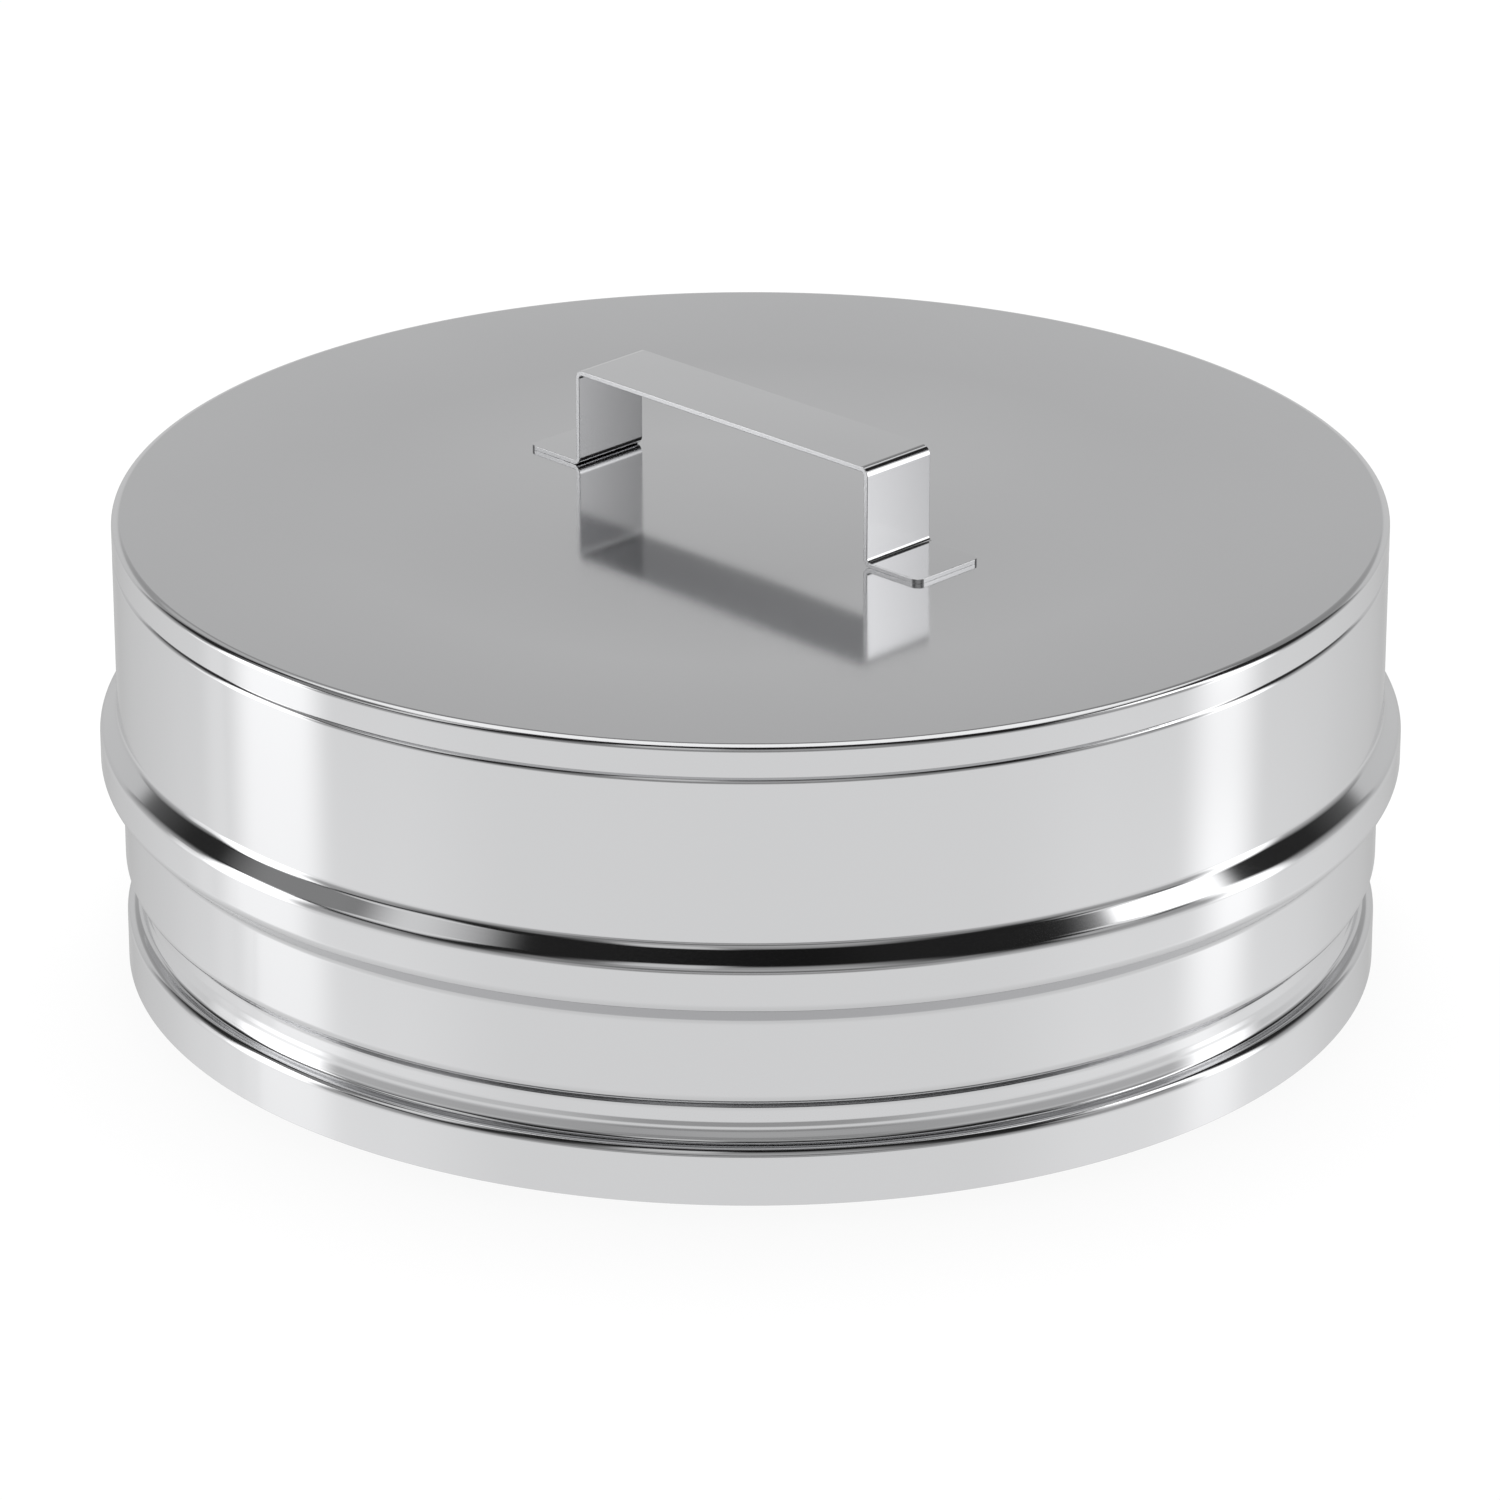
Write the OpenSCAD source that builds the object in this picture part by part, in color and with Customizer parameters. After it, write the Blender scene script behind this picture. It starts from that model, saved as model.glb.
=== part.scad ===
// End cap for a single-wall flue pipe, in bright stainless sheet.
// A rolled shell with a stop bead and a seal groove is closed by a pressed lid, which carries
// a strap handle. The origin is the centre of the bottom rim, +Z runs up the pipe's axis to the
// lid, and the handle lies along X. All sizes are in millimetres.

/* [Body] */
// Outside diameter of the wall and of the lid
body_d = 250; // [150:1:400]
// Height from the bottom rim to the top face of the lid
body_h = 92; // [75:0.5:160]
// Thickness of the shell's sheet
sheet = 0.6; // [0.4:0.05:1]

/* [Stop bead] */
// Height of the bead's foot above the bottom rim, which is how far the spigot goes in
insert_depth = 37.6; // [32:0.2:50]
// How far the crown of the bead stands out from the wall
bead_out = 3.5; // [2:0.1:6]
// Length of the bead's crown along the axis, between its corners
crown_l = 7.6; // [5:0.1:12]
// Angle of the bead's two flanks from the wall
flank_angle = 45; // [30:1:65]
// Radius of the bends beside the bead's crown on the outside face
crown_bend = 2.9; // [1.2:0.1:3.4]
// Radius of the bends where the bead meets the wall and the spigot
root_bend = 2.2; // [1.2:0.1:2.4]

/* [Spigot] */
// How much smaller the spigot's radius is than the wall's
spigot_inset = 0.75; // [0.3:0.05:2]
// Height of the band between the bottom rim and the seal groove
band_h = 11.2; // [6:0.1:15]
// Width of the seal groove at the spigot's face
groove_w = 10; // [9:0.1:13]
// Depth of the seal groove
groove_deep = 3.6; // [2.4:0.1:4]
// Angle of the groove's upper side from the wall
groove_angle = 60; // [50:1:75]
// Height of the ramp in the lower part of the groove's floor
ramp_h = 4.2; // [3:0.1:5]
// How far the ramp comes out from the floor at its foot
ramp_out = 0.8; // [0.4:0.1:1.2]
// How much lower the ledge between the ramp and the band ends than it starts
ledge_drop = 0.4; // [0:0.1:0.8]
// Radius of the bend over the groove on the outside face
groove_bend = 1.8; // [1.2:0.1:2.2]
// Radius of the bend between the groove's upper side and its floor
floor_bend = 2.8; // [1.2:0.1:3]
// Radius of the bend between the floor and the ramp
ramp_bend = 7; // [2:0.5:10]
// Radius of the bend at the foot of the ramp
foot_bend = 0.4; // [0.2:0.1:1]
// Radius of the bend between the ledge and the band
band_bend = 1.5; // [1.2:0.1:1.5]

/* [Lid] */
// Thickness of the lid's sheet
lid_sheet = 0.6; // [0.4:0.05:1]
// Depth of the lid's skirt, from the top face to its edge
skirt_h = 5.5; // [3:0.1:10]
// Inside radius of the bend between the lid and its skirt
lid_bend = 1.2; // [0.3:0.1:1.5]
// Gap between the skirt and the shell's neck
skirt_gap = 0.1; // [0.05:0.05:0.3]
// Open line between the skirt's edge and the shoulder under it
seam_gap = 0.2; // [0.2:0.1:1]
// Radius of the bends at the shoulder on the outside face
shoulder_bend = 1.15; // [0.7:0.05:1.2]

/* [Handle] */
// Length of the handle over its two legs
handle_l = 79.8; // [60:0.2:110]
// Width of the strap
handle_w = 17.5; // [12:0.5:30]
// Height of the grip's top face above the lid
handle_h = 20.2; // [14:0.2:40]
// Thickness of the strap
strap = 0.8; // [0.6:0.1:1.5]
// Inside radius of the strap's bends
strap_bend = 1.2; // [0.8:0.1:3]
// Length of each foot, from the leg to its end
foot_l = 13.6; // [10:0.2:20]
// Radius of the corners of the feet, seen from above
foot_corner = 1.8; // [0.5:0.1:4]

/* [Hidden] */
// Sides of a full turn in the preview, and steps in each bend
$fn = 180;
bend_steps = 5;
// Angle of the shoulder's slope from the wall
shoulder_angle = 45;
// How much larger the strap's blank is than its trimmed outline, on each side
trim = 1;

wall_r = body_d / 2;
crown_r = wall_r + bead_out;
spigot_r = wall_r - spigot_inset;
floor_r = spigot_r - groove_deep;
neck_r = wall_r - lid_sheet - skirt_gap;

neck_top = body_h - lid_sheet - lid_bend;
shoulder_top = body_h - skirt_h - seam_gap;
shoulder_foot = shoulder_top - run(wall_r - neck_r, shoulder_angle);
crown_low = insert_depth + run(crown_r - spigot_r, flank_angle);
crown_top = crown_low + crown_l;
bead_top = crown_top + run(bead_out, flank_angle);
groove_top = band_h + groove_w;
floor_top = groove_top - run(groove_deep, groove_angle);
ramp_low = band_h + ledge_drop;
ramp_r = floor_r + ramp_out;

// Length along the wall of a slope that moves sideways by step at an angle from the wall
function run(step, angle) = step / tan(angle);

function unit(v) = v / norm(v);
function left_of(v) = [-v.y, v.x];
function flat(p) = [p.x, p.y];
function turned(v, angle) = [v.x * cos(angle) - v.y * sin(angle), v.x * sin(angle) + v.y * cos(angle)];

// Direction of a path's side that starts at corner i, and half of that side's length
function heading(path, i) = unit(flat(path[i + 1]) - flat(path[i]));
function half_side(path, i) = norm(flat(path[i + 1]) - flat(path[i])) / 2;

// Points of a bend at corner i, no longer than half of the shorter side beside it
function bend(path, i) =
    let (a = heading(path, i - 1), b = heading(path, i))
    let (angle = acos(a * b), turn = sign(cross(a, b)))
    let (room = min(half_side(path, i - 1), half_side(path, i)))
    let (reach = min(path[i].z * tan(angle / 2), room), radius = reach / tan(angle / 2))
    let (start = flat(path[i]) - a * reach, centre = start + left_of(a) * turn * radius)
    radius > 0
        ? [for (k = [0 : bend_steps]) centre + turned(start - centre, turn * angle * k / bend_steps)]
        : [flat(path[i])];

// A path is a list of corners [across, up, bend radius]: this gives its points with the bends
function rounded(path) =
    let (last = len(path) - 1)
    [for (i = [0 : last]) each i == 0 || i == last ? [flat(path[i])] : bend(path, i)];

// The other face of a sheet of thickness t: the path moved to its right, with bends to match
function other_face(path, t) =
    let (last = len(path) - 1)
    [for (i = [0 : last])
        let (a = left_of(heading(path, max(i - 1, 0))), b = left_of(heading(path, min(i, last - 1))))
        let (corner = flat(path[i]) - (a + b) * t / (1 + a * b))
        [corner.x, corner.y, max(path[i].z + sign(cross(a, b)) * t, 0)]];

function reversed(list) = [for (i = [len(list) - 1 : -1 : 0]) list[i]];

// Section of a bent sheet of thickness t, whose outside face follows the path
module sheet_section(path, t) {
    polygon(concat(rounded(path), reversed(rounded(other_face(path, t)))));
}

// Outside face of the shell, from the neck under the lid down to the bottom rim
shell_path = [
    [neck_r, neck_top, 0],
    [neck_r, shoulder_top, shoulder_bend],
    [wall_r, shoulder_foot, shoulder_bend],
    [wall_r, bead_top, root_bend],
    [crown_r, crown_top, crown_bend],
    [crown_r, crown_low, crown_bend],
    [spigot_r, insert_depth, root_bend],
    [spigot_r, groove_top, groove_bend],
    [floor_r, floor_top, floor_bend],
    [floor_r, ramp_low + ramp_h, ramp_bend],
    [ramp_r, ramp_low, foot_bend],
    [spigot_r, band_h, band_bend],
    [spigot_r, 0, 0],
];

// Outside face of the lid, from the axis to the edge of the skirt
lid_path = [
    [0, body_h, 0],
    [wall_r, body_h, lid_bend + lid_sheet],
    [wall_r, body_h - skirt_h, 0],
];

// Upper face of the strap seen from the front: foot, leg, grip, leg and foot
leg_x = handle_l / 2;
foot_x = leg_x + foot_l;
strap_path = [
    [-foot_x - trim, strap, 0],
    [-leg_x, strap, strap_bend],
    [-leg_x, handle_h, strap_bend + strap],
    [leg_x, handle_h, strap_bend + strap],
    [leg_x, strap, strap_bend],
    [foot_x + trim, strap, 0],
];

// Outline of the strap seen from above, which starts and ends on its straight front edge
front_y = -handle_w / 2;
strap_outline = [
    [0, front_y, 0],
    [foot_x, front_y, foot_corner],
    [foot_x, -front_y, foot_corner],
    [-foot_x, -front_y, foot_corner],
    [-foot_x, front_y, foot_corner],
    [-leg_x, front_y, 0],
];

module shell() {
    color("gainsboro")
        rotate_extrude()
            sheet_section(shell_path, sheet);
}

module lid() {
    color("lightgray")
        rotate_extrude()
            sheet_section(lid_path, lid_sheet);
}

module handle() {
    color("silver")
        translate([0, 0, body_h])
            intersection() {
                translate([0, handle_w / 2 + trim, 0])
                    rotate([90, 0, 0])
                        linear_extrude(handle_w + 2 * trim)
                            sheet_section(strap_path, strap);
                translate([0, 0, -trim])
                    linear_extrude(handle_h + 2 * trim)
                        polygon(rounded(strap_outline));
            }
}

shell();
lid();
handle();
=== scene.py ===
"""Looks of the flue pipe end cap: bright stainless sheet, as a Blender add-on that runs as a script.

The shell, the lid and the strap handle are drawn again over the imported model, with finer bends,
deburred edges and exact normals, and get their steel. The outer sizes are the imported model's own.
A few small bends and steps differ a little, because bright sheet shows them in what it mirrors.
"""

import math

import bpy
from bpy.props import FloatProperty, FloatVectorProperty, IntProperty, PointerProperty
from bpy.types import Operator, Panel, PropertyGroup
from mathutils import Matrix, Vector


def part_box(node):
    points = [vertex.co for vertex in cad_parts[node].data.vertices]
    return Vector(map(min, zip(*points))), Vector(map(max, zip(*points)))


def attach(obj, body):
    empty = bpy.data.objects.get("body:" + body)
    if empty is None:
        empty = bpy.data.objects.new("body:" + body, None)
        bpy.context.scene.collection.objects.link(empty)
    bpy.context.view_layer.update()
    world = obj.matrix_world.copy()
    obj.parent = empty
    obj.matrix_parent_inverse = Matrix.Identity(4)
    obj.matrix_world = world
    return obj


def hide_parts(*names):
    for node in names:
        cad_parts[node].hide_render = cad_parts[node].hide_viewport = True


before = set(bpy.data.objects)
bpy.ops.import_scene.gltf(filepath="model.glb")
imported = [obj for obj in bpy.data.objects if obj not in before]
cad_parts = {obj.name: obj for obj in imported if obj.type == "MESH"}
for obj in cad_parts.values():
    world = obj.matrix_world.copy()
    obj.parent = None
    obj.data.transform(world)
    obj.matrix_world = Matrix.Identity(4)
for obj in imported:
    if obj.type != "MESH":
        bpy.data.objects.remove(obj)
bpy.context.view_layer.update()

bl_info = {
    "name": "Flue Pipe End Cap",
    "version": (1, 0, 0),
    "blender": (4, 5, 0),
    "location": "3D View > Sidebar > End Cap",
    "description": "Dresses a stainless end cap for a flue pipe and sets its studio",
    "category": "Object",
}

MM = 0.001
LID_LOW, LID_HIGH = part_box("lid")
HANDLE_LOW, HANDLE_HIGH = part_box("handle")
SHELL_LOW, SHELL_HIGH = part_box("shell")

# The camera's bearing round the cap, and its place from the pipe's axis and above the floor
CAMERA_BEARING = math.radians(44.5)
CAMERA_REACH = 1.4017
CAMERA_HEIGHT = 0.6261
CAMERA_PITCH = math.radians(22.70)
CAMERA_TURN = math.radians(0.004)
CAMERA_LENS = 183.6

# Level ways on the floor: towards the camera, and to its right
TO_CAMERA = (math.sin(CAMERA_BEARING), -math.cos(CAMERA_BEARING), 0.0)
TO_RIGHT = (math.cos(CAMERA_BEARING), math.sin(CAMERA_BEARING), 0.0)

# A length or a share below this counts as nought
TINY = 1e-9

# Angle of each step in a bend, and how much coarser the steps are in a bend of small radius
BEND_STEP = math.radians(5)
SMALL_BEND = 0.3 * MM
SMALL_BEND_STEPS = 3
# Share of a side that the bends at its two ends may take together
BEND_SHARE = 0.98

# Facets of the ramp in the seal groove, from the top: each one's share of the ramp's height, and
# how much of the ramp's wave tilts it. They are the fine lines that rolling leaves
RAMP_FACETS = ((0.27, -0.4), (0.17, -1.6), (0.33, 1.4), (0.23, 0.4))

# Steps in each corner of the feet, and in each half of the strap's deburred edge
CORNER_STEPS = 8
EDGE_STEPS = 4


# Sizes and colours


class CapShellSizes(PropertyGroup):
    """Sizes of the rolled shell."""

    wall_radius: FloatProperty(
        name="Wall radius", description="Outside radius of the wall",
        default=LID_HIGH.x, unit="LENGTH")
    crown_radius: FloatProperty(
        name="Crown radius", description="Outside radius of the stop bead's crown",
        default=SHELL_HIGH.x, unit="LENGTH")
    sheet: FloatProperty(
        name="Sheet", description="Thickness of the shell's sheet",
        default=0.6 * MM, unit="LENGTH")
    neck_drop: FloatProperty(
        name="Neck drop", description="How far the neck's top lies under the lid's top face",
        default=1.8 * MM, unit="LENGTH")
    insert_depth: FloatProperty(
        name="Insert depth", description="Height of the bead's foot above the rim",
        default=37.6 * MM, unit="LENGTH")
    crown_length: FloatProperty(
        name="Crown length", description="Length of the bead's crown between its corners",
        default=7.8 * MM, unit="LENGTH")
    flank_angle: FloatProperty(
        name="Flank angle", description="Angle of the bead's flanks from the wall",
        default=math.radians(45), subtype="ANGLE")
    crown_bend: FloatProperty(
        name="Crown bend", description="Outside radius of the bends beside the bead's crown",
        default=2.9 * MM, unit="LENGTH")
    root_bend: FloatProperty(
        name="Root bend", description="Radius where the bead meets the wall and the spigot",
        default=2.2 * MM, unit="LENGTH")
    spigot_inset: FloatProperty(
        name="Spigot inset", description="How much smaller the spigot's radius is than the wall's",
        default=0.75 * MM, unit="LENGTH")
    band_height: FloatProperty(
        name="Band height", description="Height of the band under the seal groove",
        default=11.2 * MM, unit="LENGTH")
    groove_width: FloatProperty(
        name="Groove width", description="Width of the seal groove at the spigot's face",
        default=9.9 * MM, unit="LENGTH")
    groove_depth: FloatProperty(
        name="Groove depth", description="Depth of the seal groove",
        default=3.6 * MM, unit="LENGTH")
    groove_angle: FloatProperty(
        name="Groove angle", description="Angle of the groove's upper side from the wall",
        default=math.radians(60), subtype="ANGLE")
    ramp_height: FloatProperty(
        name="Ramp height", description="Height of the ramp in the lower part of the groove",
        default=4.0 * MM, unit="LENGTH")
    ramp_slope: FloatProperty(
        name="Ramp slope", description="Mean slope of the ramp from the wall",
        default=math.radians(11.5), subtype="ANGLE")
    ramp_wave: FloatProperty(
        name="Ramp wave", description="How much the fine rolled lines on the ramp tilt its face",
        default=math.radians(2.5), subtype="ANGLE")
    facet_bend: FloatProperty(
        name="Facet bend", description="Radius between the facets of the ramp",
        default=5.0 * MM, unit="LENGTH")
    ledge_drop: FloatProperty(
        name="Ledge drop", description="How much lower the ledge under the ramp ends than it starts",
        default=0.4 * MM, unit="LENGTH")
    groove_bend: FloatProperty(
        name="Groove bend", description="Outside radius of the bend over the groove",
        default=2.8 * MM, unit="LENGTH")
    floor_bend: FloatProperty(
        name="Floor bend", description="Radius between the groove's upper side and its floor",
        default=2.8 * MM, unit="LENGTH")
    ramp_bend: FloatProperty(
        name="Ramp bend", description="Radius between the groove's floor and the ramp",
        default=3.0 * MM, unit="LENGTH")
    foot_bend: FloatProperty(
        name="Foot bend", description="Radius at the foot of the ramp",
        default=1.0 * MM, unit="LENGTH")
    band_bend: FloatProperty(
        name="Band bend", description="Outside radius between the ledge and the band",
        default=1.9 * MM, unit="LENGTH")
    shoulder_bend: FloatProperty(
        name="Shoulder bend", description="Radius of the bends at the shoulder under the lid",
        default=1.15 * MM, unit="LENGTH")
    deburr: FloatProperty(
        name="Deburred edge", description="Radius left on the cut edges of the sheet",
        default=0.12 * MM, unit="LENGTH")
    turns: IntProperty(
        name="Steps round", description="Steps of the shell and the lid round the axis",
        default=288, min=64, max=512)


class CapLidSizes(PropertyGroup):
    """Sizes of the pressed lid."""

    sheet: FloatProperty(
        name="Sheet", description="Thickness of the lid's sheet",
        default=0.6 * MM, unit="LENGTH")
    skirt: FloatProperty(
        name="Skirt", description="Depth of the skirt from the top face",
        default=LID_HIGH.z - LID_LOW.z, unit="LENGTH")
    bend: FloatProperty(
        name="Upper bend", description="Outside radius of the upper half of the bend at the lid's rim",
        default=1.9 * MM, unit="LENGTH")
    skirt_bend: FloatProperty(
        name="Lower bend", description="Outside radius of the half of the bend that meets the skirt",
        default=1.1 * MM, unit="LENGTH")
    rise: FloatProperty(
        name="Rise", description="How much higher the lid's rim lies than its middle",
        default=0.7 * MM, unit="LENGTH")
    flat: FloatProperty(
        name="Flat middle", description="Radius of the lid's flat middle",
        default=62.0 * MM, unit="LENGTH")
    dish_bend: FloatProperty(
        name="Dish bend", description="Radius of the soft bend where the lid starts to rise",
        default=4000.0 * MM, unit="LENGTH")
    skirt_gap: FloatProperty(
        name="Skirt gap", description="Gap between the skirt and the shell's neck",
        default=0.1 * MM, unit="LENGTH")
    seam_gap: FloatProperty(
        name="Seam gap", description="Open line under the skirt's edge",
        default=0.2 * MM, unit="LENGTH")


class CapHandleSizes(PropertyGroup):
    """Sizes of the strap handle."""

    length: FloatProperty(
        name="Length", description="Length over the two feet",
        default=HANDLE_HIGH.x - HANDLE_LOW.x, unit="LENGTH")
    width: FloatProperty(
        name="Width", description="Width of the strap",
        default=HANDLE_HIGH.y - HANDLE_LOW.y, unit="LENGTH")
    height: FloatProperty(
        name="Height", description="Height of the grip's top face above the lid",
        default=HANDLE_HIGH.z - HANDLE_LOW.z, unit="LENGTH")
    strap: FloatProperty(
        name="Strap", description="Thickness of the strap",
        default=1.0 * MM, unit="LENGTH")
    foot: FloatProperty(
        name="Foot", description="Length of each foot from its leg",
        default=13.6 * MM, unit="LENGTH")
    bend: FloatProperty(
        name="Bend", description="Inside radius of the strap's bends",
        default=0.8 * MM, unit="LENGTH")
    corner: FloatProperty(
        name="Foot corner", description="Radius of the feet's corners seen from above",
        default=1.8 * MM, unit="LENGTH")
    deburr: FloatProperty(
        name="Deburred edge", description="Radius left on the cut edges of the strap",
        default=0.12 * MM, unit="LENGTH")


class CapSteel(PropertyGroup):
    """Colour and finish of the stainless sheet."""

    colour: FloatVectorProperty(
        name="Steel colour", description="Reflected colour of the bright stainless sheet",
        size=3, subtype="COLOR", min=0.0, max=1.0, default=(0.600, 0.602, 0.610))
    roughness: FloatProperty(
        name="Roughness", description="Mean roughness of the rolled finish",
        default=0.095, min=0.0, max=1.0)
    roughness_spread: FloatProperty(
        name="Roughness spread", description="How much the roughness changes over the sheet",
        default=0.015, min=0.0, max=1.0)
    cut_roughness: FloatProperty(
        name="Cut edge roughness", description="Roughness of the strap's sheared edges",
        default=0.2, min=0.0, max=1.0)
    grain: FloatProperty(
        name="Grain", description="Depth of the rolled grain in the surface",
        default=0.02, min=0.0, max=1.0)


class CapStudio(PropertyGroup):
    """Levels of the studio."""

    strip_level: FloatProperty(
        name="Strip lights", description="Brightness of the two tall lights at the sides",
        default=2.0, min=0.0)
    top_level: FloatProperty(
        name="Top light", description="Brightness of the soft light overhead",
        default=1.4, min=0.0)
    floor_shade: FloatProperty(
        name="Floor shade", description="Share of the floor's colour that takes the cap's shadow",
        default=0.08, min=0.0, max=1.0)
    lamp_power: FloatProperty(
        name="Lamp", description="Power of the soft lamp over the cap",
        default=30.0, min=0.0, unit="POWER")


# Bent sections


def place_of(corner):
    """Place of a corner, which is given as (across, up, bend radius)."""
    return Vector(corner[:2])


def way(start, end):
    """Direction from one corner to another."""
    side = place_of(end) - place_of(start)
    return side / side.length


def left_of(v):
    """The direction v turned to the left by a quarter turn."""
    return Vector((-v.y, v.x))


def turned(v, angle):
    """The direction v turned to the left by an angle."""
    c, s = math.cos(angle), math.sin(angle)
    return Vector((v.x * c - v.y * s, v.x * s + v.y * c))


def cross(a, b):
    """More than nought where b turns to the left of a."""
    return a.x * b.y - a.y * b.x


def angle_between(a, b):
    """Angle between two directions."""
    return math.acos(max(-1.0, min(1.0, a.dot(b))))


def neighbours(corners, i):
    """The corner before corner i of a loop, corner i and the corner after it."""
    count = len(corners)
    return corners[(i - 1) % count], corners[i % count], corners[(i + 1) % count]


def wish(corners, i):
    """Length that the bend at corner i takes from each side beside it."""
    before, here, after = neighbours(corners, i)
    return here[2] * math.tan(angle_between(way(before, here), way(here, after)) / 2)


def room(corners, i, step):
    """Length free for the bend at corner i on one side, shared with the bend at its other end."""
    other = corners[(i + step) % len(corners)]
    side = (place_of(other) - place_of(corners[i])).length
    own_wish, other_wish = wish(corners, i), wish(corners, i + step)
    return BEND_SHARE * side * own_wish / max(own_wish + other_wish, TINY)


def bent(corners, i):
    """Points of the bend at corner i, each with the direction square to the face on its left."""
    before, here, after = neighbours(corners, i)
    a, b = way(before, here), way(here, after)
    angle = angle_between(a, b)
    turn = 1 if cross(a, b) > 0 else -1
    slope = math.tan(angle / 2)
    reach = min(here[2] * slope, room(corners, i, -1), room(corners, i, 1))
    start = place_of(here) - a * reach
    centre = start + left_of(a) * turn * (reach / slope)
    step = BEND_STEP if here[2] > SMALL_BEND else SMALL_BEND_STEPS * BEND_STEP
    steps = max(2, math.ceil(angle / step))
    points = []
    for k in range(steps + 1):
        swing = turn * angle * k / steps
        points.append((centre + turned(start - centre, swing), turned(left_of(a), swing)))
    return points


def bent_section(corners, closed):
    """Points and outward normals of a section given as corners (across, up, bend radius)."""
    last = len(corners) - 1
    points = []
    for i, corner in enumerate(corners):
        if closed or 0 < i < last:
            points.extend(bent(corners, i))
        elif i == 0:
            points.append((place_of(corner), left_of(way(corner, corners[1]))))
        else:
            points.append((place_of(corner), left_of(way(corners[i - 1], corner))))
    return points


def other_face(corners, sheet):
    """The path of the sheet's other face, moved to the right by its thickness, bends to match."""
    last = len(corners) - 1
    moved = []
    for i, corner in enumerate(corners):
        j, k = max(i - 1, 0), min(i, last - 1)
        a = left_of(way(corners[j], corners[j + 1]))
        b = left_of(way(corners[k], corners[k + 1]))
        place = place_of(corner) - (a + b) * sheet / (1 + a.dot(b))
        turn = cross(a, b)
        change = 0 if abs(turn) < TINY else math.copysign(sheet, turn)
        moved.append((place.x, place.y, max(corner[2] + change, 0.0)))
    return moved


def closed_sheet(outside, sheet, edge):
    """Closed loop of a sheet's two faces, with a small radius on its cut edges."""
    loop = list(outside) + other_face(outside, sheet)[::-1]
    last = len(outside) - 1
    for i in (0, last, last + 1, len(loop) - 1):
        loop[i] = (loop[i][0], loop[i][1], edge)
    return loop


def ramp_corners(shell, floor, foot_height):
    """Corners of the ramp in the seal groove: one under each facet, of which the last is its foot."""
    across, up = floor, foot_height + shell.ramp_height
    corners = []
    for share, wave in RAMP_FACETS:
        drop = share * shell.ramp_height
        across += drop * math.tan(shell.ramp_slope + wave * shell.ramp_wave)
        up -= drop
        corners.append((across, up, shell.facet_bend))
    corners[-1] = (across, foot_height, shell.foot_bend)
    return corners


def shell_corners(shell, lid):
    """Corners of the shell's outside face, from the neck under the lid down to the rim."""
    top = LID_HIGH.z
    neck = shell.wall_radius - lid.sheet - lid.skirt_gap
    spigot = shell.wall_radius - shell.spigot_inset
    floor = spigot - shell.groove_depth
    shoulder = top - lid.skirt - lid.seam_gap
    crown_low = shell.insert_depth + (shell.crown_radius - spigot) / math.tan(shell.flank_angle)
    crown_top = crown_low + shell.crown_length
    bead_top = crown_top + (shell.crown_radius - shell.wall_radius) / math.tan(shell.flank_angle)
    groove_top = shell.band_height + shell.groove_width
    floor_top = groove_top - shell.groove_depth / math.tan(shell.groove_angle)
    ramp_foot = shell.band_height + shell.ledge_drop
    return [
        (neck, top - shell.neck_drop, 0.0),
        (neck, shoulder, shell.shoulder_bend),
        (shell.wall_radius, shoulder - (shell.wall_radius - neck), shell.shoulder_bend),
        (shell.wall_radius, bead_top, shell.root_bend),
        (shell.crown_radius, crown_top, shell.crown_bend),
        (shell.crown_radius, crown_low, shell.crown_bend),
        (spigot, shell.insert_depth, shell.root_bend),
        (spigot, groove_top, shell.groove_bend),
        (floor, floor_top, shell.floor_bend),
        (floor, ramp_foot + shell.ramp_height, shell.ramp_bend),
        *ramp_corners(shell, floor, ramp_foot),
        (spigot, shell.band_height, shell.band_bend),
        (spigot, 0.0, 0.0),
    ]


def lid_corners(lid, shell):
    """Corners of the lid's outside face, from the axis over the rim to the skirt's edge."""
    top, radius = LID_HIGH.z, shell.wall_radius
    rim = top + lid.rise
    # The bend at the rim is two eighths of a turn, which fill the slope between their corners
    eighth = math.pi / 4
    slope = (lid.bend + lid.skirt_bend) * math.tan(eighth / 2) * math.cos(eighth)
    return [
        (0.0, top, 0.0),
        (lid.flat, top, lid.dish_bend),
        (radius - slope, rim, lid.bend),
        (radius, rim - slope, lid.skirt_bend),
        (radius, top - lid.skirt, shell.deburr),
    ]


# Meshes


def new_piece(name, vertices, faces, normals):
    """A smooth mesh object with exact vertex normals, riding on the cap's one body."""
    mesh = bpy.data.meshes.new(name)
    mesh.from_pydata(vertices, [], faces)
    mesh.polygons.foreach_set("use_smooth", [True] * len(mesh.polygons))
    mesh.normals_split_custom_set_from_vertices(normals)
    mesh.update()
    piece = bpy.data.objects.new(name, mesh)
    bpy.context.scene.collection.objects.link(piece)
    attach(piece, "root")
    return piece


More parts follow.
